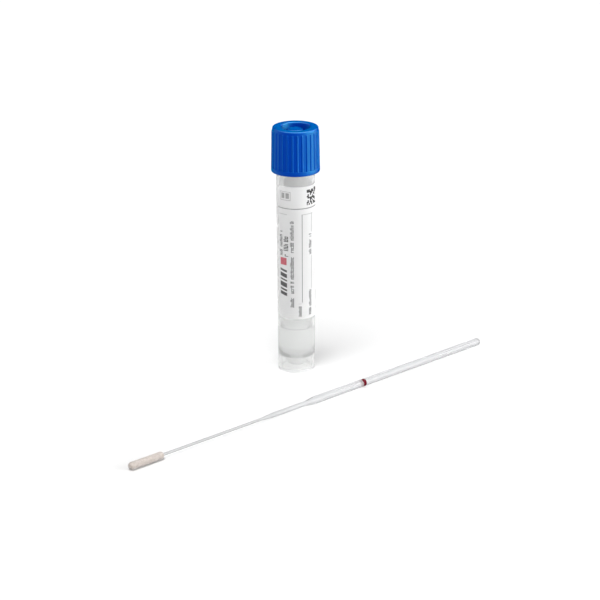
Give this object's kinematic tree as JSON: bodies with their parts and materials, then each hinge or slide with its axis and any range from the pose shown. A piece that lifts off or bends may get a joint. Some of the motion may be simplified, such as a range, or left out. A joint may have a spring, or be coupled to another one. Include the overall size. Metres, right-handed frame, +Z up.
{
  "type": "specimen swab tube",
  "caption": "Self-standing screw-cap specimen tube with a ribbed blue cap, wrap-round label and clear liquid medium, beside its flocked swab with a snap mark.",
  "frame": {"origin": "centre of the tube's foot, on the surface that the tube stands on", "axes": "+Z up the tube's axis; +X along the swab, from its tip to its handle; the swab lies on the -Y side"},
  "size_m": [0.1521, 0.0365, 0.08],
  "materials": {
    "tube_plastic": "satin",
    "cap_plastic": "satin",
    "label_film": "satin",
    "medium": "gloss",
    "shaft_plastic": "satin",
    "flock": "matte"
  },
  "bodies": {
    "tube": {"tube": "tube_plastic", "label": "label_film", "liquid": "medium", "swab_shaft": "shaft_plastic", "flocked_tip": "flock"},
    "cap": {"screw_cap": "cap_plastic"}
  },
  "joints": [
    {"name": "cap_lift", "type": "slide", "parent": "tube", "child": "cap", "axis": [0, 0, 1], "range_m": [0, 0.025]}
  ]
}
